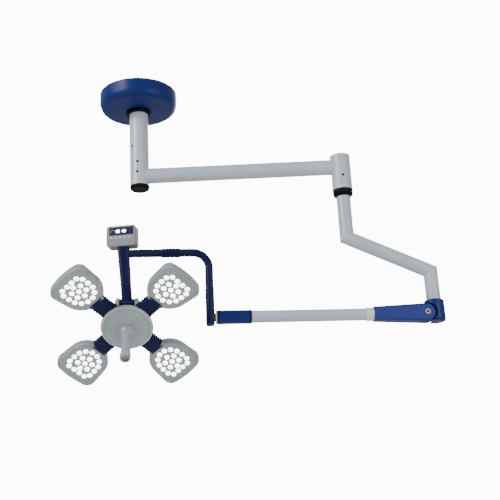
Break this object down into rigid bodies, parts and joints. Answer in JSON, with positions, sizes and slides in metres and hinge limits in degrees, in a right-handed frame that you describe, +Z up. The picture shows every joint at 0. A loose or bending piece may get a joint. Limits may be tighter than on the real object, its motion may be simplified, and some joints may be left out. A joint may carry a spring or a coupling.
{
  "type": "ceiling operating light",
  "caption": "Ceiling-mounted surgical light: column, jointed arms, sprung balance arm, bow with control box, and a tilting lamp head with LED petals and a central handle.",
  "frame": {"origin": "centre of the ceiling plate's upper face, on the column's axis", "axes": "+Z up out of the ceiling face, +X along the main arm towards the outer hub, +Y away from the side the lamp faces"},
  "size_m": [1.6007, 0.5125, 1.2786],
  "materials": {
    "grey_paint": "satin light grey powder coat",
    "blue_paint": "satin blue powder coat",
    "blue_plastic": "moulded blue",
    "navy_paint": "gloss navy powder coat",
    "black_plastic": "matt black",
    "steel": "machined",
    "dark_steel": "blackened",
    "bush_plastic": "natural",
    "cream_plastic": "smooth cream",
    "head_grey": "satin grey coated casting",
    "shell_grey": "satin moulded",
    "box_grey": "fine texture",
    "window": "polished dark blue",
    "circuit": "solder mask",
    "lens": "clear lens",
    "key": "soft touch"
  },
  "bodies": {
    "ceiling_mount": {"ceiling_plate": "steel", "flange_bolts": "steel", "column_tube": "grey_paint", "canopy": "blue_paint", "canopy_collar": "black_plastic", "power_supply": "black_plastic", "column_spindle": "steel", "column_spindle_nut": "steel", "column_set_screw": "dark_steel"},
    "main_arm": {"main_arm_sleeve": "grey_paint", "swivel_bushes": "bush_plastic", "column_end_cap": "black_plastic", "main_arm_tube": "grey_paint", "outer_hub": "grey_paint", "hub_cap": "black_plastic", "brake_screws": "dark_steel"},
    "crank_arm": {"crank_spindle": "grey_paint", "crank_spindle_nut": "steel", "crank_collar": "black_plastic", "crank_tube": "grey_paint", "crank_bush": "bush_plastic", "crank_set_screws": "dark_steel"},
    "knuckle": {"knuckle_spindle": "steel", "knuckle_housing": "blue_paint", "pivot_pin": "steel", "pivot_caps": "dark_steel"},
    "spring_arm": {"arm_cover": "blue_plastic", "arm_cover_ring": "grey_paint", "arm_tube": "grey_paint", "front_sleeve": "blue_paint", "bow_bearing": "bush_plastic", "nylon_washer": "cream_plastic", "balance_spring": "steel", "spring_adjuster": "steel"},
    "plunger": {"spring_plunger": "steel"},
    "bow": {"bow_spindle": "dark_steel", "bow_tube": "navy_paint", "yoke_arm": "navy_paint", "control_housing": "box_grey", "control_panel": "box_grey", "control_window": "window", "control_board": "circuit"},
    "key_1": {"button_1": "key"},
    "key_2": {"button_2": "key"},
    "key_3": {"button_3": "key"},
    "key_4": {"button_4": "key"},
    "key_5": {"button_5": "key"},
    "head_swivel": {"yoke_swivel": "navy_paint", "tilt_pin": "steel"},
    "lamp_head": {"hub_cup": "head_grey", "hub_rim": "cream_plastic", "hub_dome": "shell_grey", "petal_necks": "blue_plastic", "petal_shells": "shell_grey", "petal_faces": "shell_grey", "petal_boards": "circuit", "led_lenses": "lens", "handle_boss": "shell_grey"},
    "handle": {"handle_grip": "shell_grey"}
  },
  "joints": [
    {"name": "column_turn", "type": "hinge", "parent": "ceiling_mount", "child": "main_arm", "pos_m": [0, 0, -0.39], "axis": [0, 0, 1], "range_deg": [-165, 165]},
    {"name": "outer_hub_turn", "type": "hinge", "parent": "main_arm", "child": "crank_arm", "pos_m": [0.875, 0, -0.474], "axis": [0, 0, 1], "range_deg": [-150, 150]},
    {"name": "knuckle_turn", "type": "hinge", "parent": "crank_arm", "child": "knuckle", "pos_m": [1.211, 0, -1.01], "axis": [0, 0, 1], "range_deg": [-150, 150]},
    {"name": "arm_tilt", "type": "hinge", "parent": "knuckle", "child": "spring_arm", "pos_m": [1.1731, -0.00278, -1.062], "axis": [-0.0732, 0.9973, 0], "range_deg": [-45, 25]},
    {"name": "plunger_slide", "type": "slide", "parent": "spring_arm", "child": "plunger", "axis": [-0.9972, -0.0732, 0.0122], "range_m": [-0.0036, 0.0064], "deforming": ["balance_spring"]},
    {"name": "bow_turn", "type": "hinge", "parent": "spring_arm", "child": "bow", "pos_m": [0.30251, -0.06672, -1.05133], "axis": [0.9972, 0.0732, -0.0122], "range_deg": [-165, 165]},
    {"name": "head_turn", "type": "hinge", "parent": "bow", "child": "head_swivel", "pos_m": [-0.04685, -0.09237, -0.91004], "axis": [0.0122, 0.0009, 0.9999], "range_deg": [-90, 20]},
    {"name": "head_tilt", "type": "hinge", "parent": "head_swivel", "child": "lamp_head", "pos_m": [-0.04769, -0.09243, -0.97904], "axis": [0.9972, 0.0732, -0.0122], "range_deg": [-45, 45]},
    {"name": "handle_turn", "type": "hinge", "parent": "lamp_head", "child": "handle", "pos_m": [-0.04566, -0.1457, -1.13275], "axis": [0.0377, -0.6417, -0.766], "range_deg": [-60, 60]},
    {"name": "key_1_press", "type": "slide", "parent": "bow", "child": "key_1", "axis": [0.153, 0.9882, -0.0027], "range_m": [0, 0.0015], "stiffness_N_per_m": 1000, "springref_m": -0.0005},
    {"name": "key_2_press", "type": "slide", "parent": "bow", "child": "key_2", "axis": [0.153, 0.9882, -0.0027], "range_m": [0, 0.0015], "stiffness_N_per_m": 1000, "springref_m": -0.0005},
    {"name": "key_3_press", "type": "slide", "parent": "bow", "child": "key_3", "axis": [0.153, 0.9882, -0.0027], "range_m": [0, 0.0015], "stiffness_N_per_m": 1000, "springref_m": -0.0005},
    {"name": "key_4_press", "type": "slide", "parent": "bow", "child": "key_4", "axis": [0.153, 0.9882, -0.0027], "range_m": [0, 0.0015], "stiffness_N_per_m": 1000, "springref_m": -0.0005},
    {"name": "key_5_press", "type": "slide", "parent": "bow", "child": "key_5", "axis": [0.153, 0.9882, -0.0027], "range_m": [0, 0.0015], "stiffness_N_per_m": 1000, "springref_m": -0.0005}
  ],
  "couplings": [
    {"joint": "plunger_slide", "follows": "arm_tilt", "m_per_rad": -0.008}
  ]
}
